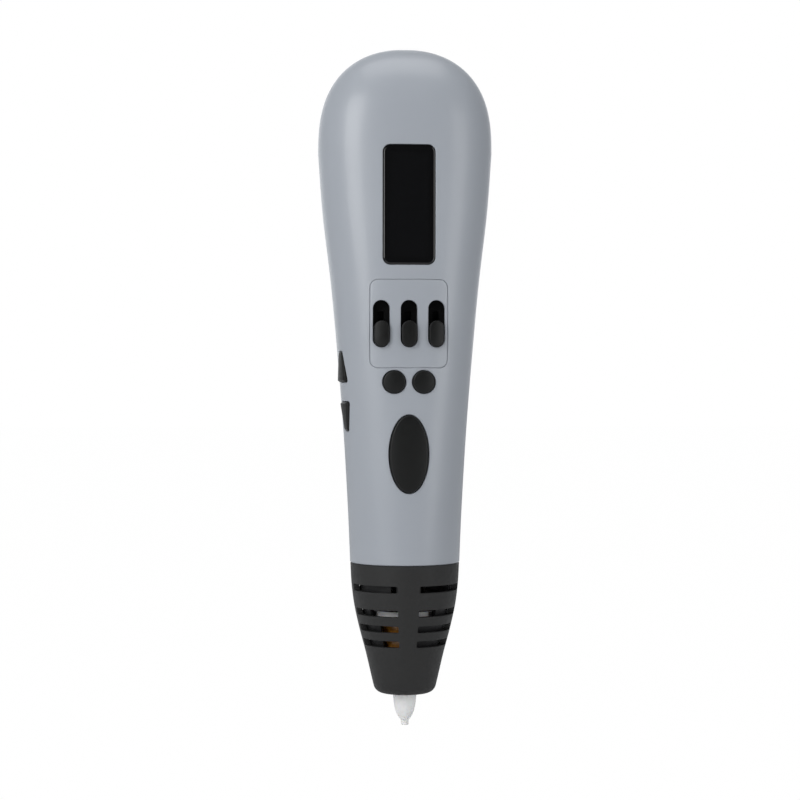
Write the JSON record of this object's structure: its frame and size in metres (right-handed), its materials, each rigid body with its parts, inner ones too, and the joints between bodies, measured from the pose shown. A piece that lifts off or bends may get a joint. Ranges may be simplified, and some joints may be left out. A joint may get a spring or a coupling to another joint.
{
  "type": "3d printing pen",
  "caption": "Hand-held 3-D printing pen: rounded grey clamshell body with a dark window, slide switches, push buttons and side arrow keys, vented black nozzle cap and white ceramic nozzle.",
  "frame": {"origin": "end of the nozzle, on the filament's axis, where the melted filament comes out", "axes": "+Z along the filament's axis from the nozzle up to the filament inlet; -Y out of the front face with the window and controls; -X to the side with the two arrow keys"},
  "size_m": [0.0472, 0.033, 0.1838],
  "materials": {
    "shell_grey": "satin moulded plastic",
    "cap_black": "fine matte moulded plastic",
    "button_black": "satin rubbery plastic",
    "window_black": "polished, dark tinted",
    "ceramic_white": "smooth unglazed",
    "inner_black": "matte",
    "mount_grey": "matte heat-resistant plastic",
    "board_green": "solder mask",
    "display_glass": "glossy",
    "steel": "machined",
    "motor_steel": "nickel plated",
    "brass": "machined",
    "aluminium": "drawn",
    "gear_nylon": "moulded nylon",
    "ptfe_white": "waxy",
    "connector_cream": "moulded",
    "tape_amber": "glossy wound tape",
    "wire_red": "silicone",
    "wire_black": "silicone",
    "bead_glass": "glossy"
  },
  "bodies": {
    "root": {"front_shell": "shell_grey", "rear_shell": "shell_grey", "housing_screws": "steel", "nozzle_cap": "cap_black", "display_window": "window_black", "display_frame": "inner_black", "display_module": "display_glass", "display_header": "brass", "switch_plate": "shell_grey", "slide_switches": "inner_black", "main_board": "board_green", "board_screws": "steel", "board_chips": "inner_black", "capacitors": "aluminium", "wire_connectors": "connector_cream", "tact_switches": "inner_black", "side_board": "board_green", "feeder_bracket": "inner_black", "feeder_screws": "steel", "sleeve_bushes": "brass", "motor_gearbox": "brass", "motor_can": "motor_steel", "motor_end_cap": "inner_black", "motor_terminals": "brass", "motor_screws": "steel", "supply_leads": "wire_red", "inlet_ferrule": "cap_black", "guide_tube_upper": "ptfe_white", "guide_tube_lower": "ptfe_white", "power_jack": "inner_black", "jack_pin": "steel", "hot_end_mount": "mount_grey", "heat_break_tube": "steel", "heater_barrel": "brass", "heater_wrap": "tape_amber", "ceramic_collar": "ceramic_white", "heater_leads": "wire_black", "thermistor": "bead_glass", "thermistor_leads": "wire_black", "nozzle_tip": "ceramic_white"},
    "slider_left": {"slider_knob_left": "button_black", "slider_lever_left": "button_black"},
    "slider_middle": {"slider_knob_middle": "button_black", "slider_lever_middle": "button_black"},
    "slider_right": {"slider_knob_right": "button_black", "slider_lever_right": "button_black"},
    "button_left": {"round_button_left": "button_black", "plunger_round_left": "button_black"},
    "button_right": {"round_button_right": "button_black", "plunger_round_right": "button_black"},
    "button_oval": {"oval_button": "button_black", "plunger_oval": "button_black"},
    "key_up": {"side_button_up": "button_black", "plunger_side_up": "button_black"},
    "key_down": {"side_button_down": "button_black", "plunger_side_down": "button_black"},
    "feed_rotor": {"feed_gear": "gear_nylon", "feed_sleeve": "brass"},
    "motor_rotor": {"drive_pinion": "brass", "motor_shaft": "steel"}
  },
  "joints": [
    {"name": "slider_left_travel", "type": "slide", "parent": "root", "child": "slider_left", "axis": [0, 0, 1], "range_m": [0, 0.0053]},
    {"name": "slider_middle_travel", "type": "slide", "parent": "root", "child": "slider_middle", "axis": [0, 0, 1], "range_m": [0, 0.0053]},
    {"name": "slider_right_travel", "type": "slide", "parent": "root", "child": "slider_right", "axis": [0, 0, 1], "range_m": [0, 0.0053]},
    {"name": "button_left_press", "type": "slide", "parent": "root", "child": "button_left", "axis": [0, 1, 0], "range_m": [0, 0.0005], "stiffness_N_per_m": 1000},
    {"name": "button_right_press", "type": "slide", "parent": "root", "child": "button_right", "axis": [0, 1, 0], "range_m": [0, 0.0005], "stiffness_N_per_m": 1000},
    {"name": "button_oval_press", "type": "slide", "parent": "root", "child": "button_oval", "axis": [0, 1, 0], "range_m": [0, 0.0005], "stiffness_N_per_m": 1000},
    {"name": "key_up_press", "type": "slide", "parent": "root", "child": "key_up", "axis": [1, 0, 0], "range_m": [0, 0.0005], "stiffness_N_per_m": 1000},
    {"name": "key_down_press", "type": "slide", "parent": "root", "child": "key_down", "axis": [1, 0, 0], "range_m": [0, 0.0005], "stiffness_N_per_m": 1000},
    {"name": "feed_spin", "type": "hinge", "parent": "root", "child": "feed_rotor", "pos_m": [0, 0, 0.117], "axis": [0, 0, 1], "continuous": true},
    {"name": "motor_spin", "type": "hinge", "parent": "root", "child": "motor_rotor", "pos_m": [0.00846, 0.00308, 0.117], "axis": [0, 0, 1], "continuous": true}
  ],
  "couplings": [
    {"joint": "motor_spin", "follows": "feed_spin", "ratio": -1.25}
  ]
}
